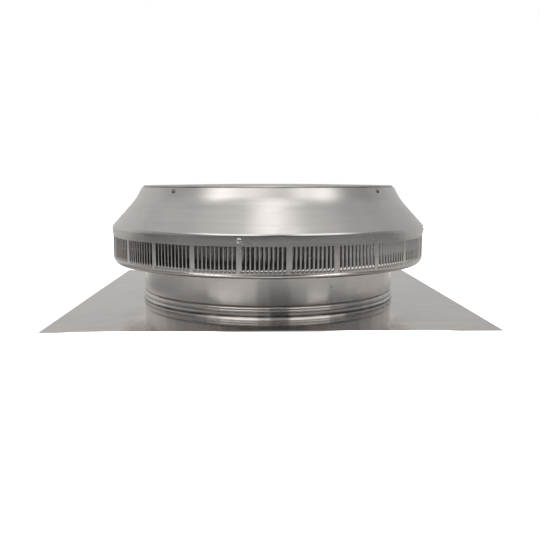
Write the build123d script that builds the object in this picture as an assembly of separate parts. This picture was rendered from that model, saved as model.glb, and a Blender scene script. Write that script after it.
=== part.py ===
from build123d import *

import os
from math import asin, cos, degrees, hypot, radians, sin, tan

# Low-profile louvred roof vent in aluminium sheet. Millimetres, +Z up, front towards -Y.
# The origin is on the roof plane, at the middle of the throat.

# Sheet and fits
SHEET = 0.8
LAP_GAP = 0.2
SEAT_GAP = 0.1

# Flashing and its upstand
FLASHING_SIDE = 508.0
UPSTAND_HEIGHT = 22.0

# Collar: outside diameter, clear height between flashing and head, and the end inside the head
COLLAR_DIAMETER = 355.6
COLLAR_CLEAR_HEIGHT = 51.0
COLLAR_INNER_END = 32.0
FOOT_HEIGHT = 4.6
FOOT_FLARE = 2.0
BEAD_HEIGHT = 7.6
BEAD_RISE = 2.4
BEAD_CREST = 2.8
BEAD_RADIUS = 3.6
CREASE_RISE = 0.5

# Pan that closes the head from below
PAN_FLANGE_HEIGHT = 10.0
PAN_CORNER_RADIUS = 6.4
PAN_LIP_LAP = 3.5

# Louvre band: groups of blades between plain posts
BAND_LOWER_MARGIN = 6.2
GROUPS = 24
BLADES_PER_GROUP = 10
FIRST_POST_ANGLE = -9.7
SLOT_WIDTH = 4.3
SLOT_HEIGHT = 25.2
BLADE_ANGLE = 57.0
BLADE_ROOT_DEPTH = 0.3
BLADE_ROOT_BITE = 0.2

# Cap: skirt, cone and rim
HEAD_DIAMETER = 442.0
SKIRT_HEIGHT = 9.3
SKIRT_ABOVE_SLOTS = 3.9
SHOULDER_RADIUS = 6.0
CONE_ANGLE = 41.8
CONE_RISE = 35.7
FLARE_RADIUS = 80.0
RIM_ANGLE = 30.0
RIM_RISE = 17.0

# Top plate
PLATE_STAND = 2.5
PLATE_FLANGE_DROP = 9.5
PLATE_BEND_RADIUS = 3.0
PLATE_CROWN = 2.0

# Rivets
RIVET_SHANK_RADIUS = 1.6
RIVET_HOLE_GAP = 0.1
RIVET_HEAD_RADIUS = 3.2
RIVET_HEAD_HEIGHT = 1.2
RIVET_HEAD_CROWN_RADIUS = 2.0
RIVET_TAIL_RADIUS = 2.5
RIVET_TAIL_HEIGHT = 1.8
TOP_RIVETS = 4
TOP_RIVET_ANGLE = 48.9
TOP_RIVET_BELOW_RIM = 4.5
BAND_RIVETS = 4
BAND_RIVET_ABOVE_EDGE = 2.9

# Radii of the outer faces, from the throat outwards
collar_radius = COLLAR_DIAMETER / 2
upstand_radius = collar_radius - SHEET - LAP_GAP
throat_radius = upstand_radius - SHEET
skirt_radius = HEAD_DIAMETER / 2
band_radius = skirt_radius - SHEET - LAP_GAP
lip_radius = band_radius - SHEET - LAP_GAP

# Levels
pan_level = SHEET + COLLAR_CLEAR_HEIGHT
collar_top = pan_level + COLLAR_INNER_END
band_bottom = pan_level + PAN_CORNER_RADIUS + SEAT_GAP
lip_top = band_bottom + PAN_LIP_LAP
slot_bottom = band_bottom + BAND_LOWER_MARGIN
slot_top = slot_bottom + SLOT_HEIGHT
skirt_bottom = slot_top + SKIRT_ABOVE_SLOTS
shoulder = skirt_bottom + SKIRT_HEIGHT
band_top = shoulder - SHOULDER_RADIUS * tan(radians(CONE_ANGLE / 2)) - SEAT_GAP
cone_top = shoulder + CONE_RISE
rim_top = cone_top + RIM_RISE
plate_top = rim_top + PLATE_STAND
flange_bottom = rim_top - PLATE_FLANGE_DROP

cone_top_radius = skirt_radius - CONE_RISE * tan(radians(CONE_ANGLE))
rim_radius = cone_top_radius - RIM_RISE * tan(radians(RIM_ANGLE))


def inset(outline, distance):
    """The outline moved to its left by a distance, with mitred corners."""
    normals = []
    for (r0, z0), (r1, z1) in zip(outline, outline[1:]):
        length = hypot(r1 - r0, z1 - z0)
        normals.append(((z0 - z1) / length, (r1 - r0) / length))
    moved = []
    for i, (r, z) in enumerate(outline):
        before = normals[max(i - 1, 0)]
        after = normals[min(i, len(normals) - 1)]
        share = distance / (1 + before[0] * after[0] + before[1] * after[1])
        moved.append((r + share * (before[0] + after[0]), z + share * (before[1] + after[1])))
    return moved


def rounded(section, point, radius):
    """The section with its corner nearest to a point rounded."""
    return fillet(section.vertices().sort_by_distance(point)[0], radius)


def bent(section, outline, inner, corner, radius):
    """The sheet section with one of its bends rounded, by the radius of its outer face."""
    (r0, z0), (r1, z1), (r2, z2) = outline[corner - 1 : corner + 2]
    turns_left = (r1 - r0) * (z2 - z1) > (z1 - z0) * (r2 - r1)
    section = rounded(section, outline[corner], radius)
    return rounded(section, inner[corner], radius - SHEET if turns_left else radius + SHEET)


def spun(outline, radii):
    """A sheet ring about Z: its outer face follows the outline, with a radius or None for a sharp fold at
    each corner, and its thickness lies to the left."""
    inner = inset(outline, SHEET)
    section = make_face(Polyline(*outline, *reversed(inner), close=True))
    for corner, radius in enumerate(radii, start=1):
        if radius:
            section = bent(section, outline, inner, corner, radius)
    return revolve(Plane.XZ * section, Axis.Z)


def on_head(angle):
    """Turns what is built at the front, on -Y, to an angle about Z."""
    return Rot(0, 0, angle)


def rivet_frame(radius, level, tilt):
    """A place on the front of the head whose Z axis leaves the sheet, tilted up by an angle."""
    return Pos(0, -radius, level) * Rot(90 - tilt, 0, 0)


def rivet_hole(layers):
    """Cutter for a rivet hole through a number of sheets."""
    reach = layers * (SHEET + LAP_GAP) + RIVET_HEAD_HEIGHT
    return Cylinder(RIVET_SHANK_RADIUS + RIVET_HOLE_GAP, 2 * reach)


def rivet(layers):
    """A blind rivet whose head seats at local z 0 and whose tail is set behind the layers."""
    grip = layers * SHEET + (layers - 1) * LAP_GAP
    head = Pos(0, 0, SEAT_GAP) * Cone(
        RIVET_HEAD_RADIUS, RIVET_HEAD_CROWN_RADIUS, RIVET_HEAD_HEIGHT, align=(Align.CENTER, Align.CENTER, Align.MIN)
    )
    shank_length = grip + 2 * SEAT_GAP + RIVET_TAIL_HEIGHT / 2
    shank = Pos(0, 0, SEAT_GAP) * Cylinder(
        RIVET_SHANK_RADIUS, shank_length, align=(Align.CENTER, Align.CENTER, Align.MAX)
    )
    tail = Pos(0, 0, -grip - SEAT_GAP) * Cylinder(
        RIVET_TAIL_RADIUS, RIVET_TAIL_HEIGHT, align=(Align.CENTER, Align.CENTER, Align.MAX)
    )
    return head + shank + tail


# Rivet places, shared by the holes and the rivets
rim_slope = tan(radians(RIM_ANGLE))
top_rivet_level = rim_top - TOP_RIVET_BELOW_RIM
top_rivet_radius = rim_radius + TOP_RIVET_BELOW_RIM * rim_slope
top_rivet_places = [
    on_head(TOP_RIVET_ANGLE + i * 360 / TOP_RIVETS) * rivet_frame(top_rivet_radius, top_rivet_level, RIM_ANGLE)
    for i in range(TOP_RIVETS)
]
band_rivet_level = skirt_bottom + BAND_RIVET_ABOVE_EDGE
posts_per_rivet = GROUPS // BAND_RIVETS
band_rivet_places = [
    on_head(FIRST_POST_ANGLE + i * posts_per_rivet * 360 / GROUPS) * rivet_frame(skirt_radius, band_rivet_level, 0)
    for i in range(BAND_RIVETS)
]


def flashing():
    """Square sheet with its hole edge drawn up into the throat's upstand."""
    plate = Pos(0, 0, SHEET / 2) * Box(FLASHING_SIDE, FLASHING_SIDE, SHEET)
    upstand = Pos(0, 0, UPSTAND_HEIGHT / 2) * Cylinder(upstand_radius, UPSTAND_HEIGHT)
    throat = Pos(0, 0, UPSTAND_HEIGHT / 2) * Cylinder(throat_radius, 2 * UPSTAND_HEIGHT)
    return plate + upstand - throat


def collar():
    """Rolled tube with a flared foot and one bead, lapped over the upstand."""
    foot_run = FOOT_FLARE - CREASE_RISE
    foot_bottom = SHEET + SEAT_GAP + SHEET * foot_run / hypot(foot_run, FOOT_HEIGHT)
    bead_bottom = foot_bottom + FOOT_HEIGHT
    ramp = (BEAD_HEIGHT - BEAD_CREST) / 2
    crest_radius = collar_radius + BEAD_RISE
    return spun(
        [
            (collar_radius + FOOT_FLARE, foot_bottom),
            (collar_radius + CREASE_RISE, bead_bottom),
            (crest_radius, bead_bottom + ramp),
            (crest_radius, bead_bottom + ramp + BEAD_CREST),
            (collar_radius, bead_bottom + BEAD_HEIGHT),
            (collar_radius, collar_top),
        ],
        [None, BEAD_RADIUS, BEAD_RADIUS, None],
    )


def base_pan():
    """Spun ring with a flange turned up round the collar and a lip turned up inside the band."""
    flange_radius = collar_radius + LAP_GAP
    outline = [
        (flange_radius, pan_level + PAN_FLANGE_HEIGHT),
        (flange_radius, pan_level),
        (lip_radius, pan_level),
        (lip_radius, lip_top),
    ]
    return spun(outline, [None, PAN_CORNER_RADIUS])


def blade_places():
    """Turns of every slot's middle about Z, counted from the post to the left of each group."""
    group_turn = 360 / GROUPS
    pitch_turn = group_turn / (BLADES_PER_GROUP + 1)
    return [
        on_head(FIRST_POST_ANGLE + group * group_turn + (blade + 1) * pitch_turn)
        for group in range(GROUPS)
        for blade in range(BLADES_PER_GROUP)
    ]


def louver_band():
    """Sheet ring whose slots each keep their metal as a blade, bent inwards along the right edge."""
    ring = spun([(band_radius, band_bottom), (band_radius, band_top)], [])
    slot_level = (slot_bottom + slot_top) / 2
    slot = Pos(0, -band_radius, slot_level) * Box(SLOT_WIDTH, 6 * SHEET, SLOT_HEIGHT)

    along = (-cos(radians(BLADE_ANGLE)), sin(radians(BLADE_ANGLE)))
    behind = (sin(radians(BLADE_ANGLE)), cos(radians(BLADE_ANGLE)))
    hinge = (SLOT_WIDTH / 2, BLADE_ROOT_DEPTH - band_radius)

    def corner(length, thickness):
        return tuple(h + length * a + thickness * b for h, a, b in zip(hinge, along, behind))

    section = make_face(
        Polyline(
            corner(-BLADE_ROOT_BITE, 0),
            corner(SLOT_WIDTH, 0),
            corner(SLOT_WIDTH, SHEET),
            corner(-BLADE_ROOT_BITE, SHEET),
            close=True,
        )
    )
    blade = Pos(0, 0, slot_bottom) * extrude(section, SLOT_HEIGHT)
    places = blade_places()
    band = ring - [place * slot for place in places]
    band = band + [place * blade for place in places]
    return band - [place * rivet_hole(2) for place in band_rivet_places]


def cone_cap():
    """Spun cone with a straight skirt over the band and a steep rim round the top plate."""
    outline = [
        (skirt_radius, skirt_bottom),
        (skirt_radius, shoulder),
        (cone_top_radius, cone_top),
        (rim_radius, rim_top),
    ]
    cap = spun(outline, [SHOULDER_RADIUS, FLARE_RADIUS])
    holes = [place * rivet_hole(2) for place in band_rivet_places + top_rivet_places]
    return cap - holes


def crown(bend, top):
    """Arc centred on the Z axis, from its top there down to a bend."""
    radius, level = bend
    rise = top - level
    dome_radius = (radius**2 + rise**2) / (2 * rise)
    spread = degrees(asin(radius / dome_radius))
    return CenterArc((0, top - dome_radius), dome_radius, 90 - spread, spread)


def top_plate():
    """Crowned disc whose flange lies inside the cap's rim, with its bend standing above the rim."""
    rim = [
        (rim_radius + PLATE_FLANGE_DROP * rim_slope, flange_bottom),
        (rim_radius - PLATE_STAND * rim_slope, plate_top),
    ]
    flange, bend = inset(rim, SHEET + LAP_GAP)
    crown_top = plate_top + PLATE_CROWN
    outline = [flange, (bend[0], plate_top), (0, crown_top)]
    inner = inset(outline, SHEET)
    section = make_face(
        [
            Line(outline[0], outline[1]),
            crown(outline[1], crown_top),
            Line((0, crown_top), (0, crown_top - SHEET)),
            crown(inner[1], crown_top - SHEET),
            Line(inner[1], inner[0]),
            Line(inner[0], outline[0]),
        ]
    )
    plate = revolve(Plane.XZ * bent(section, outline, inner, 1, PLATE_BEND_RADIUS), Axis.Z)
    return plate - [place * rivet_hole(2) for place in top_rivet_places]


def rivets(places):
    """The rivets of one joint, each its own solid."""
    return Compound(children=[place * rivet(2) for place in places])


parts = {
    "flashing": flashing(),
    "collar": collar(),
    "base_pan": base_pan(),
    "louver_band": louver_band(),
    "band_rivets": rivets(band_rivet_places),
    "cone_cap": cone_cap(),
    "top_plate": top_plate(),
    "top_rivets": rivets(top_rivet_places),
}

os.makedirs("parts", exist_ok=True)
for name, shape in parts.items():
    export_step(shape, f"parts/{name}.step")
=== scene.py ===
"""Looks of a low louvred roof vent in mill aluminium, an add-on that builds round its solid model."""

import random
from bisect import bisect_right
from math import cos, pi, radians, sin, tan

import bmesh
import bpy
from bpy.props import FloatProperty, FloatVectorProperty, IntProperty, PointerProperty
from bpy.types import Operator, Panel, PropertyGroup
from mathutils import Matrix, Vector


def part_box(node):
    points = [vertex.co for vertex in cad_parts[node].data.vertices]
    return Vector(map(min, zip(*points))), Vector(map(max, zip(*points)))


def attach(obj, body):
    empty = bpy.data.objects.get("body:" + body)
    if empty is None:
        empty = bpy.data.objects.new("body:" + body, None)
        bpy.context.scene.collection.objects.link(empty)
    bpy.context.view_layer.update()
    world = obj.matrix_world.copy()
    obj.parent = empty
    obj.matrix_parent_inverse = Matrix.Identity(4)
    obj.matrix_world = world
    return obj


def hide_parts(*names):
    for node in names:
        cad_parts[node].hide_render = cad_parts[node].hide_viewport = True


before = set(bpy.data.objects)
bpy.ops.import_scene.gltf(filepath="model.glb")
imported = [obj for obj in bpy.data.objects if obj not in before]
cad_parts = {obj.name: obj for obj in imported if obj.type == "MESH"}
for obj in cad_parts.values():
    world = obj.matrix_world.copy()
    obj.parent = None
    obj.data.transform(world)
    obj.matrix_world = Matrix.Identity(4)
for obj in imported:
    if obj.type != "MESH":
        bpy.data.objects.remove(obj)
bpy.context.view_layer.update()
BOX = {name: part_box(name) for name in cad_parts}

bl_info = {
    "name": "Louvred Roof Vent",
    "version": (1, 0, 0),
    "blender": (4, 5, 0),
    "location": "3D View > Sidebar > Roof Vent",
    "description": "Builds the looks of a low louvred roof vent round its solid model",
    "category": "Object",
}

MM = 0.001
MERGE_GAP = 1e-7
EASE_SHARE = 0.22

# Shares of its colour that the metal keeps in darker streaks of its grain, in smudges and in painted crease
# shade
DULL_SHARE = 0.80
STAIN_SHARE = 0.70
CREASE_SHADE_SHARE = 0.12

# How strongly handling shows on the metal, and how deep its grain is
SMUDGE_TINT = 0.30
SMUDGE_BLUR = 0.05
SCRATCH_BLUR = 0.12
GRAIN_DEPTH = 0.06 * MM

# Colour of the studio's light, and the white that the camera sees past the object
LIGHT_COLOR = (1.0, 0.972, 0.947, 1.0)
WHITE = (1.0, 1.0, 1.0, 1.0)


class VentSizes(PropertyGroup):
    """Sizes of the sheet pieces that the solid model's boxes don't give."""

    sheet: FloatProperty(
        name="Sheet",
        description="Thickness of the aluminium sheet",
        default=0.8 * MM,
        precision=5,
        unit="LENGTH",
    )
    lap_gap: FloatProperty(
        name="Lap Gap",
        description="Play between two lapped sheets",
        default=0.2 * MM,
        precision=5,
        unit="LENGTH",
    )
    steps_round: IntProperty(
        name="Steps Round",
        description="Faces round each turned piece, a multiple of eight",
        default=320,
        min=64,
    )
    upstand_bend: FloatProperty(
        name="Upstand Bend",
        description="Radius of the bend between flashing and upstand",
        default=2.2 * MM,
        precision=5,
        unit="LENGTH",
    )
    collar_radius: FloatProperty(
        name="Collar Radius",
        description="Outside radius of the plain collar",
        default=177.8 * MM,
        precision=5,
        unit="LENGTH",
    )
    flat_turn: FloatProperty(
        name="Flat Turn",
        description="Usual turn of each flat that the bending rolls leave in the collar",
        default=radians(6.5),
        subtype="ANGLE",
    )
    flatness: FloatProperty(
        name="Flatness",
        description="How flat those flats are, from round to plane",
        default=1.0,
        min=0.0,
        max=1.0,
    )
    flats_seed: IntProperty(name="Flats Seed", description="Choice of the flats' widths", default=5)
    foot_flare: FloatProperty(
        name="Foot Flare",
        description="How far the collar's foot stands out",
        default=2.0 * MM,
        precision=5,
        unit="LENGTH",
    )
    foot_height: FloatProperty(
        name="Foot Height",
        description="Height of the collar's flared foot under its bead",
        default=4.6 * MM,
        precision=5,
        unit="LENGTH",
    )
    bead_height: FloatProperty(
        name="Bead Height",
        description="Height of the bead rolled into the collar",
        default=7.6 * MM,
        precision=5,
        unit="LENGTH",
    )
    crease_rise: FloatProperty(
        name="Crease Rise",
        description="How far the crease under the bead stands off the plain collar",
        default=0.5 * MM,
        precision=5,
        unit="LENGTH",
    )
    pan_round: FloatProperty(
        name="Pan Corner",
        description="Radius of the head's lower corner",
        default=6.4 * MM,
        precision=5,
        unit="LENGTH",
    )
    skirt_height: FloatProperty(
        name="Skirt Height",
        description="Height of the cap's straight skirt up to its shoulder",
        default=9.3 * MM,
        precision=5,
        unit="LENGTH",
    )
    shoulder_round: FloatProperty(
        name="Shoulder Radius",
        description="Radius between skirt and cone",
        default=6.0 * MM,
        precision=5,
        unit="LENGTH",
    )
    cone_angle: FloatProperty(
        name="Cone Angle",
        description="Lean of the cone from the vertical",
        default=radians(41.8),
        subtype="ANGLE",
    )
    cone_rise: FloatProperty(
        name="Cone Rise",
        description="Height of the cone between shoulder and rim",
        default=35.7 * MM,
        precision=5,
        unit="LENGTH",
    )
    flare_round: FloatProperty(
        name="Flare Radius",
        description="Radius of the hollow between cone and rim",
        default=80.0 * MM,
        precision=5,
        unit="LENGTH",
    )
    rim_angle: FloatProperty(
        name="Rim Angle",
        description="Lean of the cap's rim from the vertical",
        default=radians(30.0),
        subtype="ANGLE",
    )
    plate_stand: FloatProperty(
        name="Plate Stand",
        description="How far the top plate stands above the cap's rim",
        default=2.5 * MM,
        precision=5,
        unit="LENGTH",
    )
    plate_bend: FloatProperty(
        name="Plate Bend",
        description="Radius of the bend round the top plate",
        default=3.0 * MM,
        precision=5,
        unit="LENGTH",
    )


class VentLouvers(PropertyGroup):
    """Lay-out of the louvre band."""

    groups: IntProperty(name="Groups", description="Groups of blades round the band", default=24, min=1)
    blades: IntProperty(name="Blades", description="Blades in each group", default=10, min=1)
    first_post: FloatProperty(
        name="First Post",
        description="Turn of the first plain post from the front",
        default=radians(-9.7),
        subtype="ANGLE",
    )
    slot_width: FloatProperty(
        name="Slot Width",
        description="Width of the metal that each blade takes from the band",
        default=4.3 * MM,
        precision=5,
        unit="LENGTH",
    )
    lower_margin: FloatProperty(
        name="Lower Margin",
        description="Plain sheet under the slots",
        default=6.2 * MM,
        precision=5,
        unit="LENGTH",
    )
    upper_margin: FloatProperty(
        name="Upper Margin",
        description="Plain sheet between the slots and the edge of the skirt",
        default=3.9 * MM,
        precision=5,
        unit="LENGTH",
    )
    ramp: FloatProperty(
        name="Ramp",
        description="Length under the slot over which a blade's lower end is drawn back to the band",
        default=3.4 * MM,
        precision=5,
        unit="LENGTH",
    )
    blade_angle: FloatProperty(
        name="Blade Angle",
        description="Turn of each blade into the head",
        default=radians(57.0),
        subtype="ANGLE",
    )
    bend_length: FloatProperty(
        name="Bend Length",
        description="Length of the bend along a blade's root",
        default=0.8 * MM,
        precision=5,
        unit="LENGTH",
    )


class VentRivets(PropertyGroup):
    """Sizes and places of the blind rivets."""

    head_radius: FloatProperty(
        name="Head Radius",
        description="Radius of a rivet head",
        default=3.2 * MM,
        precision=5,
        unit="LENGTH",
    )
    head_height: FloatProperty(
        name="Head Height",
        description="Height of a rivet head",
        default=1.3 * MM,
        precision=5,
        unit="LENGTH",
    )
    shank_radius: FloatProperty(
        name="Shank Radius",
        description="Radius of a rivet shank",
        default=1.6 * MM,
        precision=5,
        unit="LENGTH",
    )
    count: IntProperty(name="Count", description="Rivets in each joint", default=4, min=1)
    top_angle: FloatProperty(
        name="Top Turn",
        description="Turn of the first top rivet from the front",
        default=radians(48.9),
        subtype="ANGLE",
    )
    top_drop: FloatProperty(
        name="Top Drop",
        description="Top rivets below the rim",
        default=4.5 * MM,
        precision=5,
        unit="LENGTH",
    )
    band_rise: FloatProperty(
        name="Band Rise",
        description="Band rivets above the edge of the skirt",
        default=2.9 * MM,
        precision=5,
        unit="LENGTH",
    )


class VentFinish(PropertyGroup):
    """Colours of the aluminium finishes, with one dark colour painted as shade on the rim's rivets."""

    mill: FloatVectorProperty(
        name="Mill Sheet",
        description="Colour of plain mill sheet",
        default=(0.745, 0.725, 0.712),
        subtype="COLOR",
    )
    spun: FloatVectorProperty(
        name="Spun Sheet",
        description="Colour of spun sheet",
        default=(0.77, 0.755, 0.745),
        subtype="COLOR",
    )
    louver: FloatVectorProperty(
        name="Louvre Sheet",
        description="Colour of the pressed louvre band",
        default=(0.73, 0.710, 0.698),
        subtype="COLOR",
    )
    rivet: FloatVectorProperty(
        name="Rivet",
        description="Colour of the band's rivets",
        default=(0.79, 0.78, 0.77),
        subtype="COLOR",
    )
    # Painted shade: the rim's rivets are the band's rivets, coloured dark for the shade they show
    shaded_rivet: FloatVectorProperty(
        name="Shaded Rivet",
        description="Colour of the rim's rivets",
        default=(0.30, 0.29, 0.28),
        subtype="COLOR",
    )


class VentStage(PropertyGroup):
    """Camera, light and floor."""

    eye: FloatVectorProperty(
        name="Eye",
        description="Place of the camera",
        default=(-0.0186, -0.9472, 0.1610),
        subtype="TRANSLATION",
        unit="LENGTH",
    )
    heading: FloatProperty(
        name="Heading",
        description="Turn of the camera to the right",
        default=radians(1.3),
        subtype="ANGLE",
    )
    pitch: FloatProperty(
        name="Pitch", description="Tilt of the camera downwards", default=radians(7.63), subtype="ANGLE"
    )
    lens: FloatProperty(
        name="Lens",
        description="Focal length on a 36 mm frame",
        default=43.2,
        unit="CAMERA",
    )
    floor: FloatVectorProperty(
        name="Floor", description="Colour of the floor", default=(0.72, 0.715, 0.71), subtype="COLOR"
    )
    overhead: FloatProperty(
        name="Overhead",
        description="Brightness of the long soft light above",
        default=0.9,
    )
    left: FloatProperty(
        name="Left",
        description="Brightness of the soft light left of the camera",
        default=1.15,
    )
    right: FloatProperty(
        name="Right",
        description="Brightness of the soft light right of the camera",
        default=1.08,
    )
    room: FloatProperty(
        name="Room",
        description="Brightness of the room behind the object",
        default=0.53,
    )
    dark: FloatProperty(
        name="Dark",
        description="Brightness of the room behind the camera",
        default=0.06,
    )
    # Painted light: brightness of a glowing ring on the floor, a stand-in for a pool of light
    pool: FloatProperty(
        name="Pool",
        description="Brightness of the lit ring on the floor",
        default=0.36,
    )


def rounded(corners, radii, steps=8):
    """A polyline in radius and height with each inner corner turned into an arc of its radius."""
    corners = [Vector(corner) for corner in corners]
    path = [corners[0]]
    for before, here, after, radius in zip(corners, corners[1:], corners[2:], radii):
        back = (before - here).normalized()
        onward = (after - here).normalized()
        half = back.angle(onward) / 2
        centre = here + (back + onward).normalized() * radius / sin(half)
        first = here + back * radius / tan(half) - centre
        last = here + onward * radius / tan(half) - centre
        for step in range(steps + 1):
            path.append(centre + first.lerp(last, step / steps).normalized() * radius)
    path.append(corners[-1])
    return path


def beside(path, distance):
    """The path moved to its left by a distance."""
    moved = []
    runs = [(after - before).normalized() for before, after in zip(path, path[1:])]
    for i, point in enumerate(path):
        before = runs[max(i - 1, 0)]
        after = runs[min(i, len(runs) - 1)]
        left = Vector((-before.y - after.y, before.x + after.x))
        moved.append(point + left * distance / (1 + before.dot(after)))
    return moved


def section(path, thickness):
    """Closed section of a sheet whose outer face follows the path, with eased edges at both ends."""
    ease = EASE_SHARE * abs(thickness)
    inner = beside(path, thickness)
    loop = []
    for face, other in ((path, inner), (inner[::-1], path[::-1])):
        along = (face[1] - face[0]).normalized() * ease
        across = (other[0] - face[0]).normalized() * ease
        loop += [face[0] + across, face[0] + along]
        loop += face[1:-1]
        along = (face[-2] - face[-1]).normalized() * ease
        across = (other[-1] - face[-1]).normalized() * ease
        loop += [face[-1] + along, face[-1] + across]
    return loop


def turned_mesh(loop, steps, reach=None):
    """Mesh of a closed loop turned about Z, with an optional rule that stretches a radius at an angle."""
    mesh = bmesh.new()
    rings = []
    for radius, level in loop:
        ring = []
        for i in range(steps):
            angle = 2 * pi * i / steps
            out = reach(radius, angle) if reach else radius
            ring.append(mesh.verts.new((out * sin(angle), -out * cos(angle), level)))
        rings.append(ring)
    for ring, following in zip(rings, rings[1:] + rings[:1]):
        for i in range(steps):
            j = (i + 1) % steps
            mesh.faces.new((ring[i], ring[j], following[j], following[i]))
    bmesh.ops.remove_doubles(mesh, verts=mesh.verts, dist=MERGE_GAP)
    loose = [edge for edge in mesh.edges if not edge.link_faces]
    bmesh.ops.delete(mesh, geom=loose, context="EDGES")
    return mesh


def shade(mesh, sharp_angle=radians(34)):
    """Smooth faces with sharp edges where the sheet really turns a corner."""
    bmesh.ops.recalc_face_normals(mesh, faces=mesh.faces)
    for face in mesh.faces:
        face.smooth = True
    for edge in mesh.edges:
        edge.smooth = len(edge.link_faces) != 2 or edge.calc_face_angle() < sharp_angle


def placed(name, mesh, node, material):
    """Makes an object of a finished mesh, dresses it and puts it in the place of a solid."""
    data = bpy.data.meshes.new(name)
    mesh.to_mesh(data)
    mesh.free()
    piece = bpy.data.objects.new(name, data)
    bpy.context.scene.collection.objects.link(piece)
    data.materials.append(material)
    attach(piece, "root")
    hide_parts(node)
    return piece


def add(tree, kind, sources=None, **settings):
    """A shader node with its settings, and a link or a value for each named input."""
    node = tree.nodes.new(kind)
    for key, value in settings.items():
        setattr(node, key, value)
    for key, source in (sources or {}).items():
        if isinstance(source, bpy.types.NodeSocket):
            tree.links.new(source, node.inputs[key])
        else:
            node.inputs[key].default_value = source
    return node


def soft_step(tree, value, start, end):
    """A mask that rises softly from nought at the start to one at the end."""
    sources = {"Value": value, "From Min": start, "From Max": end}
    return add(tree, "ShaderNodeMapRange", sources, interpolation_type="SMOOTHSTEP").outputs[0]


def ranged(tree, value, start, end, low, high):
    """A value carried over in a straight line from one range to another, and held at the ends."""
    sources = {"Value": value, "From Min": start, "From Max": end, "To Min": low, "To Max": high}
    return add(tree, "ShaderNodeMapRange", sources).outputs[0]


def calc(tree, operation, *values, **settings):
    """The result of a sum on numbers or sockets."""
    return add(tree, "ShaderNodeMath", dict(enumerate(values)), operation=operation, **settings).outputs[0]


def vector_calc(tree, operation, *values):
    """The vector that a sum on vectors gives."""
    return add(tree, "ShaderNodeVectorMath", dict(enumerate(values)), operation=operation).outputs["Vector"]


def length_of(tree, vector):
    """The length of a vector."""
    return add(tree, "ShaderNodeVectorMath", {0: vector}, operation="LENGTH").outputs["Value"]


def blended(tree, share, first, second):
    """A colour between two, which are inputs 6 and 7 of the node, as its output 2."""
    return add(tree, "ShaderNodeMix", {"Factor": share, 6: first, 7: second}, data_type="RGBA").outputs[2]


def darker(color, share):
    """A share of a colour."""
    return (*(share * value for value in color), 1.0)


def new_group(name, inputs, outputs):
    """A shader node group that reads a coordinate, what else it is given, and what it puts out."""
    group = bpy.data.node_groups.new(name, "ShaderNodeTree")
    sockets = group.interface
    sockets.new_socket("Coordinate", in_out="INPUT", socket_type="NodeSocketVector")
    for label, kind, default in inputs:
        sockets.new_socket(label, in_out="INPUT", socket_type=kind).default_value = default
    for label in outputs:
        sockets.new_socket(label, in_out="OUTPUT", socket_type="NodeSocketFloat")
    return group, group.nodes.new("NodeGroupInput").outputs, group.nodes.new("NodeGroupOutput").inputs


def spun_lines():
    """Group: fine lines that a spinning roller leaves round the axis."""
    name = "Spun Lines"
    if name in bpy.data.node_groups:
        return bpy.data.node_groups[name]
    inputs = [("Fineness", "NodeSocketFloat", 900.0), ("Sweep", "NodeSocketFloat", 1.2)]
    group, given, put = new_group(name, inputs, ["Line", "Broad"])
    axes = add(group, "ShaderNodeSeparateXYZ", {0: given["Coordinate"]}).outputs
    flat = add(group, "ShaderNodeCombineXYZ", {"X": axes["X"], "Y": axes["Y"]}).outputs[0]
    radius = length_of(group, flat)
    turn = vector_calc(group, "NORMALIZE", flat)
    turn = add(
        group, "ShaderNodeVectorMath", {0: turn, "Scale": given["Sweep"]}, operation="SCALE"
    ).outputs["Vector"]
    turn_axes = add(group, "ShaderNodeSeparateXYZ", {0: turn}).outputs
    for share, label in ((1.0, "Line"), (0.12, "Broad")):
        fine = calc(group, "MULTIPLY", given["Fineness"], share)
        across = calc(group, "MULTIPLY", radius, fine)
        up = calc(group, "MULTIPLY", axes["Z"], fine)
        place = add(
            group, "ShaderNodeCombineXYZ", {"X": turn_axes["X"], "Y": turn_axes["Y"], "Z": across}
        ).outputs[0]
        noise = add(
            group,
            "ShaderNodeTexNoise",
            {"Vector": place, "W": up, "Scale": 1.0, "Detail": 3.0, "Roughness": 0.6},
            noise_dimensions="4D",
        )
        group.links.new(noise.outputs[0], put[label])
    return group


def rolled_grain():
    """Group: straight streaks of the rolling mill along one direction."""
    name = "Rolled Grain"
    if name in bpy.data.node_groups:
        return bpy.data.node_groups[name]
    inputs = [("Stretch", "NodeSocketVector", (4.0, 700.0, 700.0))]
    group, given, put = new_group(name, inputs, ["Line", "Broad"])
    place = vector_calc(group, "MULTIPLY", given["Coordinate"], given["Stretch"])
    for scale, label in ((1.0, "Line"), (0.1, "Broad")):
        noise = add(
            group, "ShaderNodeTexNoise", {"Vector": place, "Scale": scale, "Detail": 3.0, "Roughness": 0.62}
        )
        group.links.new(noise.outputs[0], put[label])
    return group


def handling_marks():
    """Group: soft smudges and sparse hair scratches from handling."""
    name = "Handling Marks"
    if name in bpy.data.node_groups:
        return bpy.data.node_groups[name]
    inputs = [("Size", "NodeSocketFloat", 14.0)]
    group, given, put = new_group(name, inputs, ["Smudge", "Scratch"])
    place = given["Coordinate"]
    smudge = add(
        group,
        "ShaderNodeTexNoise",
        {"Vector": place, "Scale": given["Size"], "Detail": 4.0, "Roughness": 0.55, "Distortion": 0.6},
    ).outputs[0]
    group.links.new(soft_step(group, smudge, 0.42, 0.72), put["Smudge"])
    turned = add(
        group,
        "ShaderNodeMapping",
        {"Vector": place, "Rotation": (0.4, 0.7, 0.9), "Scale": (9.0, 420.0, 420.0)},
    ).outputs[0]
    hair = add(group, "ShaderNodeTexNoise", {"Vector": turned, "Scale": 1.0, "Detail": 1.0}).outputs[0]
    group.links.new(soft_step(group, hair, 0.71, 0.76), put["Scratch"])
    return group


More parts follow.
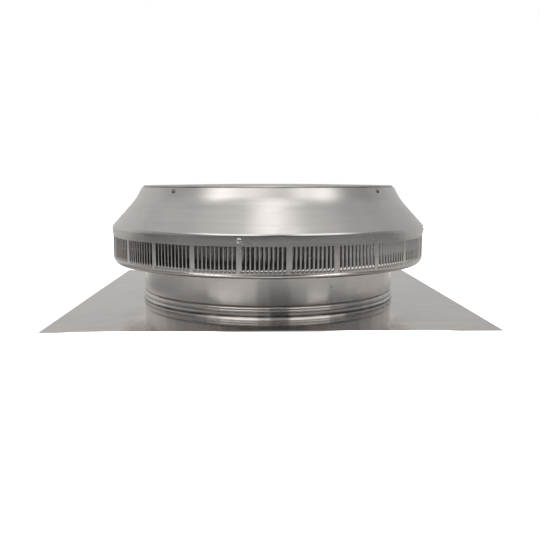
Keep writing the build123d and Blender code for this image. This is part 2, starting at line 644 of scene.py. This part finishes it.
def painted_crease_shade():
    """Group: a dark line of painted shade at one level of a turned piece."""
    name = "Crease Grime"
    if name in bpy.data.node_groups:
        return bpy.data.node_groups[name]
    inputs = [("Level", "NodeSocketFloat", 0.0), ("Reach", "NodeSocketFloat", 1.0 * MM)]
    group, given, put = new_group(name, inputs, ["Grime"])
    place = given["Coordinate"]
    up = add(group, "ShaderNodeSeparateXYZ", {0: place}).outputs["Z"]
    gap = calc(group, "ABSOLUTE", calc(group, "SUBTRACT", up, given["Level"]))
    line = soft_step(group, gap, given["Reach"], 0.0)
    patchy = add(group, "ShaderNodeTexNoise", {"Vector": place, "Scale": 40.0, "Detail": 3.0}).outputs[0]
    patchy = ranged(group, patchy, 0.3, 0.6, 0.6, 1.0)
    group.links.new(calc(group, "MULTIPLY", line, patchy), put["Grime"])
    return group


def metal(
    name, color, grain, grain_values, roughness, grain_share, relief_share=0.16, creases=(), anisotropic=0.0
):
    """A mill aluminium finish: grain, smudges and hair scratches in colour, gloss and relief, with painted
    shade along any given crease levels.
    """
    if name in bpy.data.materials:
        return bpy.data.materials[name]
    material = bpy.data.materials.new(name)
    material.use_nodes = True
    material.diffuse_color = (*color, 1.0)
    tree = material.node_tree
    tree.nodes.clear()
    place = add(tree, "ShaderNodeTexCoord").outputs["Object"]
    lines = add(tree, "ShaderNodeGroup", {"Coordinate": place, **grain_values}, node_tree=grain).outputs
    marks = add(tree, "ShaderNodeGroup", {"Coordinate": place}, node_tree=handling_marks()).outputs

    tone = blended(tree, lines["Broad"], darker(color, DULL_SHARE), darker(color, 1.0))
    stain = calc(tree, "MULTIPLY", marks["Smudge"], SMUDGE_TINT)
    shown = blended(tree, stain, tone, darker(color, STAIN_SHARE))
    # Painted shade: a dark line is blended into the colour at each crease level
    for level, reach in creases:
        sources = {"Coordinate": place, "Level": level, "Reach": reach}
        painted_shade = add(tree, "ShaderNodeGroup", sources, node_tree=painted_crease_shade()).outputs["Grime"]
        shown = blended(tree, painted_shade, shown, darker(color, CREASE_SHADE_SHARE))

    rough = ranged(tree, lines["Line"], 0.0, 1.0, roughness - grain_share, roughness + grain_share)
    smeared = calc(tree, "MULTIPLY", marks["Smudge"], SMUDGE_BLUR)
    rough = calc(tree, "ADD", rough, smeared)
    scraped = calc(tree, "MULTIPLY", marks["Scratch"], SCRATCH_BLUR)
    rough = calc(tree, "ADD", rough, scraped, use_clamp=True)

    relief = calc(tree, "SUBTRACT", lines["Line"], marks["Scratch"])
    bump = add(
        tree, "ShaderNodeBump", {"Height": relief, "Strength": relief_share, "Distance": GRAIN_DEPTH}
    ).outputs[0]

    surface = add(
        tree,
        "ShaderNodeBsdfPrincipled",
        {"Base Color": shown, "Metallic": 1.0, "Roughness": rough, "Normal": bump},
    )
    if anisotropic:
        surface.inputs["Anisotropic"].default_value = anisotropic
        surface.inputs["Anisotropic Rotation"].default_value = 0.25
        around = add(tree, "ShaderNodeTangent", direction_type="RADIAL", axis="Z").outputs[0]
        tree.links.new(around, surface.inputs["Tangent"])
    out = add(tree, "ShaderNodeOutputMaterial")
    tree.links.new(surface.outputs[0], out.inputs["Surface"])
    return material


def mill_flashing(finish):
    """Flat mill sheet with its grain from side to side."""
    return metal(
        "Mill Flashing",
        finish.mill,
        rolled_grain(),
        {"Stretch": (5.0, 620.0, 620.0)},
        roughness=0.09,
        grain_share=0.025,
        relief_share=0.03,
    )


def rolled_collar(finish, creases):
    """Mill sheet rolled into a tube, with its grain round the tube and painted shade in its creases."""
    return metal(
        "Rolled Collar",
        finish.mill,
        spun_lines(),
        {"Fineness": 800.0, "Sweep": 1.4},
        roughness=0.15,
        grain_share=0.04,
        creases=creases,
        anisotropic=0.5,
    )


def spun_cap(finish):
    """Spun sheet with fine lines round the axis."""
    return metal(
        "Spun Cap",
        finish.spun,
        spun_lines(),
        {"Fineness": 1000.0, "Sweep": 1.0},
        roughness=0.19,
        grain_share=0.04,
        anisotropic=0.5,
    )


def spun_plate(finish, creases):
    """Spun sheet of the top plate, a little duller than the cap, with a line of painted shade where it
    leaves the rim.
    """
    return metal(
        "Spun Plate",
        finish.spun,
        spun_lines(),
        {"Fineness": 760.0, "Sweep": 1.1},
        roughness=0.31,
        grain_share=0.08,
        creases=creases,
        anisotropic=0.45,
    )


def pressed_louver(finish):
    """Pressed mill sheet with its grain round the band."""
    values = {"Fineness": 900.0, "Sweep": 1.6}
    return metal("Pressed Louver", finish.louver, spun_lines(), values, roughness=0.22, grain_share=0.05)


def rivet_metal(name, color):
    """Drawn rivet metal."""
    values = {"Stretch": (900.0, 900.0, 900.0)}
    return metal(name, color, rolled_grain(), values, roughness=0.22, grain_share=0.06)


class VENT_OT_flashing(Operator):
    """Square flashing with its drawn upstand"""

    bl_idname = "vent.flashing"
    bl_label = "Flashing"

    def execute(self, context):
        sizes = context.scene.vent_sizes
        low, high = BOX["flashing"]
        half = high.x
        outer = sizes.collar_radius - sizes.sheet - sizes.lap_gap
        throat = outer - sizes.sheet
        flat_from = outer + 2 * sizes.upstand_bend

        def to_square(radius, angle):
            if radius <= flat_from:
                return radius
            edge = half / max(abs(sin(angle)), abs(cos(angle)))
            share = (radius - flat_from) / (half - flat_from)
            return flat_from + share * (edge - flat_from)

        corners = [(half, low.z), (throat, low.z), (throat, high.z)]
        path = rounded(corners, [sizes.upstand_bend + sizes.sheet])
        rings = 6
        flat = [path[0].lerp(path[1], i / rings) for i in range(rings)]
        loop = section([*flat, *path[1:]], -sizes.sheet)
        mesh = turned_mesh(loop, sizes.steps_round, to_square)
        shade(mesh, sharp_angle=radians(20))
        finish = mill_flashing(context.scene.vent_finish)
        placed("flashing_sheet", mesh, "flashing", finish)
        return {"FINISHED"}


class VENT_OT_collar(Operator):
    """Rolled collar with its bead and flared foot"""

    bl_idname = "vent.collar"
    bl_label = "Collar"

    def execute(self, context):
        sizes = context.scene.vent_sizes
        low, high = BOX["collar"]
        crest = high.x
        plain = sizes.collar_radius
        run = sizes.foot_flare - sizes.crease_rise
        dip = sizes.sheet * run / Vector((run, sizes.foot_height)).length
        foot = low.z + dip
        bead = foot + sizes.foot_height
        ramp = crest - plain
        corners = [
            (plain + sizes.foot_flare, foot),
            (plain + sizes.crease_rise, bead),
            (crest, bead + ramp),
            (crest, bead + sizes.bead_height - ramp),
            (plain, bead + sizes.bead_height),
            (plain, high.z),
        ]
        crease_bend = 0.4 * MM
        bead_bend = 3.6 * MM
        path = rounded(corners, [crease_bend, bead_bend, bead_bend, crease_bend])
        flats = self.roll_flats(sizes)
        mesh = turned_mesh(section(path, sizes.sheet), sizes.steps_round, flats)
        shade(mesh)
        # Painted shade: dark lines at the foot where it meets the flashing, and under and over the bead
        foot_shade_reach = 2.6 * MM
        under_bead_shade_reach = 0.8 * MM
        over_bead_shade_reach = 1.3 * MM
        creases = (
            (foot, foot_shade_reach),
            (bead, under_bead_shade_reach),
            (bead + sizes.bead_height, over_bead_shade_reach),
        )
        finish = rolled_collar(context.scene.vent_finish, creases)
        placed("collar_sheet", mesh, "collar", finish)
        return {"FINISHED"}

    @staticmethod
    def roll_flats(sizes):
        """Rule for the slight flats that the bending rolls leave round the collar."""
        narrowest = 0.55
        widest = 1.45
        edges = [0.0]
        widths = random.Random(sizes.flats_seed)
        while edges[-1] < 2 * pi:
            edges.append(edges[-1] + widths.uniform(narrowest, widest) * sizes.flat_turn)
        edges = [2 * pi * edge / edges[-1] for edge in edges]

        def reach(radius, angle):
            place = bisect_right(edges, angle % (2 * pi)) - 1
            start, end = edges[place : place + 2]
            half = (end - start) / 2
            chord = radius * cos(half) / cos(angle % (2 * pi) - start - half)
            return radius + sizes.flatness * (chord - radius * (1 - half * half / 3))

        return reach


class VENT_OT_base_pan(Operator):
    """Pan that closes the head from below"""

    bl_idname = "vent.base_pan"
    bl_label = "Base Pan"

    def execute(self, context):
        sizes = context.scene.vent_sizes
        low, high = BOX["base_pan"]
        flange = sizes.collar_radius + sizes.lap_gap
        corners = [(flange, high.z), (flange, low.z), (high.x, low.z), (high.x, high.z)]
        flange_bend = 1.6 * MM
        path = rounded(corners, [flange_bend, sizes.pan_round], steps=10)
        mesh = turned_mesh(section(path, sizes.sheet), sizes.steps_round)
        shade(mesh)
        placed("pan_sheet", mesh, "base_pan", spun_cap(context.scene.vent_finish))
        return {"FINISHED"}


class VENT_OT_louver_band(Operator):
    """Band of lanced blades, each hinged at its right edge, drawn at its foot and cut square at its top"""

    bl_idname = "vent.louver_band"
    bl_label = "Louver Band"

    def execute(self, context):
        sizes = context.scene.vent_sizes
        louvers = context.scene.vent_louvers
        low, high = BOX["louver_band"]
        skirt_bottom = BOX["cone_cap"][0].z
        radius = high.x
        slot_bottom = low.z + louvers.lower_margin
        slot_top = skirt_bottom - louvers.upper_margin
        levels = self.levels(low.z, slot_bottom, slot_top, high.z, louvers.ramp)
        # The blade's top is the third row from the last, and the rows above it belong to the plain band
        cut = len(levels) - 3
        group_turn = 2 * pi / louvers.groups
        pitch = group_turn / (louvers.blades + 1)

        mesh = bmesh.new()

        def column(turn, across, depth_rule=None):
            points = []
            for level, lift in levels:
                side, depth = depth_rule(lift) if depth_rule else (across, 0.0)
                angle = turn + side / radius
                out = radius - depth
                points.append(mesh.verts.new((out * sin(angle), -out * cos(angle), level)))
            return points

        columns = []
        half = louvers.slot_width / 2
        for group in range(louvers.groups):
            post = louvers.first_post + group * group_turn
            columns.append((column(post, 0.0), None))
            for blade in range(1, louvers.blades + 1):
                turn = post + blade * pitch
                left = column(turn, -half)
                patch = [
                    column(turn, 0.0, lambda lift, reach=reach: self.bent(louvers, half, reach, lift))
                    for reach in self.reaches(louvers)
                ]
                for i, (_, lift) in enumerate(levels):
                    if lift == 0.0:
                        patch[0][i].co = left[i].co
                columns.append((left, patch))

        flat = []
        for left, patch in columns:
            flat.append((left, left if patch is None else patch[-1]))
            strips = [] if patch is None else zip(patch, patch[1:])
            for one, two in strips:
                self.strip(mesh, one[: cut + 1], two[: cut + 1])
                self.strip(mesh, one[cut + 1 :], two[cut + 1 :])
        for (_, one), (two, _) in zip(flat, flat[1:] + flat[:1]):
            self.strip(mesh, one, two)
        bmesh.ops.remove_doubles(mesh, verts=mesh.verts, dist=MERGE_GAP)
        bmesh.ops.recalc_face_normals(mesh, faces=mesh.faces)

        finish = pressed_louver(context.scene.vent_finish)
        piece = placed("louver_sheet", mesh, "louver_band", finish)
        self.thicken(context, piece, sizes.sheet)
        return {"FINISHED"}

    @staticmethod
    def levels(bottom, slot_bottom, slot_top, top, ramp, ramp_rows=5):
        """Heights of the rows, each with the share of its turn that the blade has there."""
        rows = [(bottom, 0.0)]
        for i in range(ramp_rows + 1):
            share = i / ramp_rows
            rows.append((slot_bottom - ramp * (1 - share), share * share * (3 - 2 * share)))
        rows.append(((slot_bottom + slot_top) / 2, 1.0))
        return [*rows, (slot_top, 1.0), (slot_top, 0.0), (top, 0.0)]

    @staticmethod
    def reaches(louvers):
        """Distances from the hinge of the blade's columns, free edge first."""
        width = louvers.slot_width
        bend = louvers.bend_length
        return [width, 0.55 * width, bend, 0.5 * bend, 0.0]

    @staticmethod
    def bent(louvers, half, reach, lift):
        """Side and depth of a point on the blade at a reach from its hinge."""
        lean = louvers.blade_angle * lift
        steps = 4
        bend = min(reach, louvers.bend_length)
        side = half
        depth = 0.0
        for i in range(steps):
            heading = lean * (i + 0.5) / steps * bend / louvers.bend_length
            side -= cos(heading) * bend / steps
            depth += sin(heading) * bend / steps
        side -= cos(lean) * (reach - bend)
        depth += sin(lean) * (reach - bend)
        return side, depth

    @staticmethod
    def strip(mesh, one, two):
        """Faces between two columns."""
        for a, b, c, d in zip(one, two, two[1:], one[1:]):
            mesh.faces.new((a, b, c, d))

    @staticmethod
    def thicken(context, piece, thickness):
        """Gives the pressed face its sheet thickness, inwards, and sharp cut edges."""
        solid = piece.modifiers.new("Sheet", "SOLIDIFY")
        solid.thickness = thickness
        solid.offset = -1.0
        solid.use_even_offset = True
        solid.use_rim = True
        context.view_layer.update()
        made = piece.evaluated_get(context.evaluated_depsgraph_get()).to_mesh()
        mesh = bmesh.new()
        mesh.from_mesh(made)
        shade(mesh, sharp_angle=radians(50))
        mesh.to_mesh(piece.data)
        mesh.free()
        piece.modifiers.remove(solid)


class VENT_OT_cone_cap(Operator):
    """Spun cap: skirt, cone and rim"""

    bl_idname = "vent.cone_cap"
    bl_label = "Cone Cap"

    def execute(self, context):
        sizes = context.scene.vent_sizes
        low, high = BOX["cone_cap"]
        shoulder = low.z + sizes.skirt_height
        cone_top = shoulder + sizes.cone_rise
        cone_radius = high.x - sizes.cone_rise * tan(sizes.cone_angle)
        rim_radius = cone_radius - (high.z - cone_top) * tan(sizes.rim_angle)
        corners = [(high.x, low.z), (high.x, shoulder), (cone_radius, cone_top), (rim_radius, high.z)]
        path = rounded(corners, [sizes.shoulder_round, sizes.flare_round], steps=14)
        mesh = turned_mesh(section(path, sizes.sheet), sizes.steps_round)
        shade(mesh)
        placed("cap_sheet", mesh, "cone_cap", spun_cap(context.scene.vent_finish))
        return {"FINISHED"}


class VENT_OT_top_plate(Operator):
    """Crowned top plate with its flange inside the cap's rim"""

    bl_idname = "vent.top_plate"
    bl_label = "Top Plate"

    def execute(self, context):
        sizes = context.scene.vent_sizes
        low, high = BOX["top_plate"]
        rim_top = BOX["cone_cap"][1].z
        plate_top = rim_top + sizes.plate_stand
        slope = tan(sizes.rim_angle)
        flange = high.x
        bend = flange - (plate_top - low.z) * slope
        crown = high.z - plate_top
        outermost = 0.9
        crown_start = (outermost * bend, plate_top + crown * (1 - outermost * outermost))
        path = rounded([(flange, low.z), (bend, plate_top), crown_start], [sizes.plate_bend])
        rings = 9
        for i in range(1, rings):
            share = outermost * (1 - i / rings)
            path.append(Vector((bend * share, plate_top + crown * (1 - share * share))))
        path.append(Vector((0.0, high.z)))
        inner = beside(path, sizes.sheet)
        inner[-1].x = 0.0
        mesh = turned_mesh([*path, *reversed(inner)], sizes.steps_round)
        shade(mesh)
        # Painted shade: a dark line on the plate where it leaves the cap's rim
        rim_shade_reach = 2.2 * MM
        finish = spun_plate(context.scene.vent_finish, ((rim_top, rim_shade_reach),))
        placed("plate_sheet", mesh, "top_plate", finish)
        return {"FINISHED"}


class VENT_OT_rivets(Operator):
    """Blind rivets through the skirt and through the rim"""

    bl_idname = "vent.rivets"
    bl_label = "Rivets"

    def execute(self, context):
        sizes = context.scene.vent_sizes
        rivets = context.scene.vent_rivets
        cap_low, cap_high = BOX["cone_cap"]
        cone_radius = cap_high.x - sizes.cone_rise * tan(sizes.cone_angle)
        rim_rise = cap_high.z - cap_low.z - sizes.skirt_height - sizes.cone_rise
        rim_radius = cone_radius - rim_rise * tan(sizes.rim_angle)
        top_radius = rim_radius + rivets.top_drop * tan(sizes.rim_angle)
        finish = context.scene.vent_finish
        bright = rivet_metal("Bright Rivet", finish.rivet)
        # Painted shade: the rim's rivets get a dark copy of the rivet metal
        shaded = rivet_metal("Shaded Rivet", finish.shaded_rivet)
        first_post = context.scene.vent_louvers.first_post
        top_level = cap_high.z - rivets.top_drop
        band_level = cap_low.z + rivets.band_rise
        joints = (
            ("band_rivet_set", "band_rivets", bright, first_post, cap_high.x, band_level, 0.0),
            ("top_rivet_set", "top_rivets", shaded, rivets.top_angle, top_radius, top_level, sizes.rim_angle),
        )
        for name, node, look, first, radius, level, tilt in joints:
            mesh = bmesh.new()
            for i in range(rivets.count):
                turn = Matrix.Rotation(first + 2 * pi * i / rivets.count, 4, "Z")
                seat = Matrix.Translation((0, -radius, level)) @ Matrix.Rotation(pi / 2 - tilt, 4, "X")
                self.rivet(mesh, turn @ seat, rivets, 2 * sizes.sheet + sizes.lap_gap)
            shade(mesh)
            placed(name, mesh, node, look)
        return {"FINISHED"}

    @staticmethod
    def rivet(mesh, seat, rivets, grip):
        """One rivet with a domed head, the hollow of its drawn pin and a set tail."""
        head = rivets.head_radius
        height = rivets.head_height
        shank = rivets.shank_radius
        pin = 0.30 * head
        lip = 1.12 * pin
        hollow = 0.45 * height
        crest = 1.02 * height
        fall = 0.84 * height
        brim = 0.16 * height
        seat_gap = 0.08 * MM
        tail = 1.45 * shank
        tail_top = -grip - 0.1 * MM
        tail_side = -grip - 0.9 * MM
        tail_end = -grip - 1.8 * MM
        loop = [(0.0, hollow), (pin, hollow), (pin, height), (lip, crest)]
        dome_steps = 7
        for i in range(1, dome_steps):
            share = i / dome_steps
            loop.append((lip + (head - lip) * share, crest - fall * share * share))
        loop += [(head, brim), (0.98 * head, seat_gap), (shank, seat_gap), (shank, -grip)]
        loop += [(tail, tail_top), (tail, tail_side), (0.8 * shank, tail_end), (0.0, tail_end)]
        steps_round = 32
        made = turned_mesh([Vector(point) for point in loop], steps_round)
        made.transform(seat)
        data = bpy.data.meshes.new("rivet")
        made.to_mesh(data)
        made.free()
        mesh.from_mesh(data)
        bpy.data.meshes.remove(data)


class VENT_OT_stage(Operator):
    """Floor, soft light and camera"""

    bl_idname = "vent.stage"
    bl_label = "Stage"

    def execute(self, context):
        stage = context.scene.vent_stage
        self.floor(context, stage)
        self.room(context, stage)
        self.camera(context, stage)
        context.scene.view_settings.view_transform = "Standard"
        return {"FINISHED"}

    # Place, reach and tone of each patch of the floor that is paler or darker than the rest: painted pools
    # of light in front of the object, painted shade to its left and a painted shadow just in front of it
    painted_floor_spots = (
        ((0.0, -0.60, 0.0), 0.36, 0.98),
        ((-0.36, -0.05, 0.0), 0.30, 0.40),
        ((0.03, -0.36, 0.0), 0.24, 0.12),
        ((-0.15, -0.38, 0.0), 0.17, 0.86),
        ((0.22, -0.34, 0.0), 0.17, 0.62),
    )

    # Place, half sizes and brightness of each glowing patch of painted light on the floor: two pools, two
    # strips at the sheet, one behind
    floor_glows = (
        ((-0.15, -0.33, 0.0), (0.11, 0.11, 1.0), 0.12),
        ((0.18, -0.32, 0.0), (0.09, 0.09, 1.0), 0.06),
        ((-0.14, -0.254, 0.0), (0.10, 0.010, 1.0), 8.5),
        ((0.13, -0.254, 0.0), (0.08, 0.010, 1.0), 9.5),
        ((0.0, 0.45, 0.0), (0.55, 0.55, 1.0), 0.46),
    )
    floor_half = 12.0
    floor_drop = 0.4 * MM
    ring_radius = 0.67

    # Half width of each part of the overhead light, and its share of the brightness
    overhead_parts = ((0.20, 0.72), (0.80, 0.24))

    # Where each soft light beside the camera starts and is full, from its inner and its outer edge
    left_light = (0.08, -0.22, -0.84, -0.48)
    right_light = (0.14, 0.37, 0.87, 0.64)

    def floor(self, context, stage):
        """A pale floor with painted pools of light and painted shade round the object, painted darker
        further off, and glowing patches of painted light.
        """
        mesh = bmesh.new()
        bmesh.ops.create_grid(mesh, x_segments=8, y_segments=8, size=self.floor_half)
        data = bpy.data.meshes.new("floor")
        mesh.to_mesh(data)
        mesh.free()
        floor = bpy.data.objects.new("floor", data)
        floor.location.z = -self.floor_drop
        context.scene.collection.objects.link(floor)
        material = bpy.data.materials.new("Pale Floor")
        material.use_nodes = True
        tree = material.node_tree
        tree.nodes.clear()
        place = add(tree, "ShaderNodeTexCoord").outputs["Object"]
        axes = add(tree, "ShaderNodeSeparateXYZ", {0: place}).outputs
        shown = (*stage.floor, 1.0)
        # Painted light and shade: pale pools and dark patches blended into the floor's colour
        for spot, reach, tone in self.painted_floor_spots:
            gap = length_of(tree, vector_calc(tree, "SUBTRACT", place, spot))
            patch = soft_step(tree, gap, reach, 0.15 * reach)
            shown = blended(tree, patch, shown, (tone, tone, tone, 1.0))
        # Painted shade: the floor's colour darkens far off ahead of the object
        away = length_of(tree, place)
        far = soft_step(tree, away, 0.75, 0.98)
        ahead = soft_step(tree, axes["Y"], 0.6, 0.1)
        dim = ranged(tree, axes["X"], -0.6, 0.9, 0.05, 0.16)
        shown = blended(tree, calc(tree, "MULTIPLY", far, ahead), shown, dim)
        matt = add(tree, "ShaderNodeBsdfPrincipled", {"Base Color": shown, "Roughness": 0.9})

        # Painted light: a glowing ring and glowing patches on the floor, which the camera doesn't see
        off_ring = calc(tree, "ABSOLUTE", calc(tree, "SUBTRACT", away, self.ring_radius))
        ring = calc(tree, "MULTIPLY", soft_step(tree, off_ring, 0.12, 0.02), ahead)
        glow = calc(tree, "MULTIPLY", ring, stage.pool)
        for spot, halves, strength in self.floor_glows:
            shares = vector_calc(tree, "DIVIDE", vector_calc(tree, "SUBTRACT", place, spot), halves)
            lit = soft_step(tree, length_of(tree, shares), 1.0, 0.4)
            glow = calc(tree, "MULTIPLY_ADD", lit, strength, glow)
        pool = add(tree, "ShaderNodeEmission", {"Color": LIGHT_COLOR, "Strength": glow})
        white = add(tree, "ShaderNodeEmission", {"Color": WHITE, "Strength": 1.0})
        seen = add(tree, "ShaderNodeLightPath").outputs["Is Camera Ray"]
        light = add(tree, "ShaderNodeMixShader", {0: seen, 1: pool.outputs[0], 2: white.outputs[0]})
        both = add(tree, "ShaderNodeAddShader", {0: matt.outputs[0], 1: light.outputs[0]})
        out = add(tree, "ShaderNodeOutputMaterial")
        tree.links.new(both.outputs[0], out.inputs["Surface"])
        data.materials.append(material)

    def room(self, context, stage):
        """A pale room that is dark behind the camera, and white where the camera looks past the object."""
        world = bpy.data.worlds.new("Studio Room")
        context.scene.world = world
        world.use_nodes = True
        tree = world.node_tree
        tree.nodes.clear()
        way = add(tree, "ShaderNodeTexCoord").outputs["Generated"]
        axes = add(tree, "ShaderNodeSeparateXYZ", {0: way}).outputs

        # The walls: dark low down at the front, less so at the sides, brighter to the left and lower down
        front = soft_step(tree, axes["Y"], 0.60, -0.10)
        low = soft_step(tree, axes["Z"], 0.72, 0.48)
        sideways = ranged(tree, calc(tree, "ABSOLUTE", axes["X"]), 0.4, 0.9, 1.0, 0.55)
        shut = calc(tree, "MULTIPLY", calc(tree, "MULTIPLY", front, low), sideways)
        level = ranged(tree, shut, 0.0, 1.0, stage.room, stage.dark)
        level = calc(tree, "MULTIPLY", level, ranged(tree, axes["X"], -1.0, 1.0, 1.13, 0.87))
        level = calc(tree, "MULTIPLY", level, ranged(tree, axes["Z"], 0.0, 1.0, 1.08, 0.90))

        # The long light overhead, which turns aside and widens towards the camera
        forward = (axes["Y"], -0.14, -0.21)
        centre = ranged(tree, *forward, 0.012, 0.08)
        spread = ranged(tree, *forward, 1.0, 1.9)
        aside = calc(tree, "ABSOLUTE", calc(tree, "SUBTRACT", axes["X"], centre))
        aside = calc(tree, "DIVIDE", aside, spread)
        above = soft_step(tree, axes["Z"], 0.80, 0.94)
        lamps = []
        for reach, share in self.overhead_parts:
            strip = calc(tree, "MULTIPLY", soft_step(tree, aside, reach, 0.12 * reach), above)
            lamps.append((strip, share * stage.overhead))

        # The soft lights to the left and the right of the camera
        ahead = soft_step(tree, axes["Y"], -0.02, -0.30)
        rise = soft_step(tree, axes["Z"], 0.30, 0.62)
        fall = soft_step(tree, axes["Z"], 0.88, 0.81)
        for edges, strength in ((self.left_light, stage.left), (self.right_light, stage.right)):
            inner, inner_full, outer, outer_full = edges
            lamp = soft_step(tree, axes["X"], inner, inner_full)
            for edge in (soft_step(tree, axes["X"], outer, outer_full), ahead, rise, fall):
                lamp = calc(tree, "MULTIPLY", lamp, edge)
            lamps.append((lamp, strength))
        for shape, strength in lamps:
            level = calc(tree, "MULTIPLY_ADD", shape, strength, level)

        lit = add(tree, "ShaderNodeBackground", {"Color": LIGHT_COLOR, "Strength": level})
        white = add(tree, "ShaderNodeBackground", {"Color": WHITE, "Strength": 1.0})
        seen = add(tree, "ShaderNodeLightPath").outputs["Is Camera Ray"]
        both = add(tree, "ShaderNodeMixShader", {0: seen, 1: lit.outputs[0], 2: white.outputs[0]})
        out = add(tree, "ShaderNodeOutputWorld")
        tree.links.new(both.outputs[0], out.inputs["Surface"])

    @staticmethod
    def camera(context, stage):
        """The photograph's point of view."""
        data = bpy.data.cameras.new("camera")
        data.lens = stage.lens
        data.sensor_width = 36.0
        data.clip_start = 0.01
        camera = bpy.data.objects.new("camera", data)
        turn = Matrix.Rotation(-stage.heading, 4, "Z") @ Matrix.Rotation(pi / 2 - stage.pitch, 4, "X")
        camera.matrix_world = Matrix.Translation(stage.eye) @ turn
        context.scene.collection.objects.link(camera)
        context.scene.camera = camera


PIECES = (
    VENT_OT_flashing,
    VENT_OT_collar,
    VENT_OT_base_pan,
    VENT_OT_louver_band,
    VENT_OT_cone_cap,
    VENT_OT_top_plate,
    VENT_OT_rivets,
    VENT_OT_stage,
)


class VENT_PT_sidebar(Panel):
    """Pieces and settings of the roof vent"""

    bl_idname = "VENT_PT_sidebar"
    bl_label = "Roof Vent"
    bl_space_type = "VIEW_3D"
    bl_region_type = "UI"
    bl_category = "Roof Vent"

    def draw(self, context):
        layout = self.layout
        for piece in PIECES:
            layout.operator(piece.bl_idname)
        for name in SETTINGS:
            settings = getattr(context.scene, name)
            box = layout.box()
            for key in settings.__annotations__:
                box.prop(settings, key)


SETTINGS = {
    "vent_sizes": VentSizes,
    "vent_louvers": VentLouvers,
    "vent_rivets": VentRivets,
    "vent_finish": VentFinish,
    "vent_stage": VentStage,
}


def register():
    """Adds the settings, the operators and the panel."""
    for name, kind in SETTINGS.items():
        bpy.utils.register_class(kind)
        setattr(bpy.types.Scene, name, PointerProperty(type=kind))
    for piece in PIECES:
        bpy.utils.register_class(piece)
    bpy.utils.register_class(VENT_PT_sidebar)


def unregister():
    """Takes the panel, the operators and the settings away again."""
    bpy.utils.unregister_class(VENT_PT_sidebar)
    for piece in reversed(PIECES):
        bpy.utils.unregister_class(piece)
    for name, kind in reversed(SETTINGS.items()):
        delattr(bpy.types.Scene, name)
        bpy.utils.unregister_class(kind)


def main():
    """Builds every piece in order."""
    register()
    bpy.ops.vent.flashing()
    bpy.ops.vent.collar()
    bpy.ops.vent.base_pan()
    bpy.ops.vent.louver_band()
    bpy.ops.vent.cone_cap()
    bpy.ops.vent.top_plate()
    bpy.ops.vent.rivets()
    bpy.ops.vent.stage()


if __name__ == "__main__":
    main()
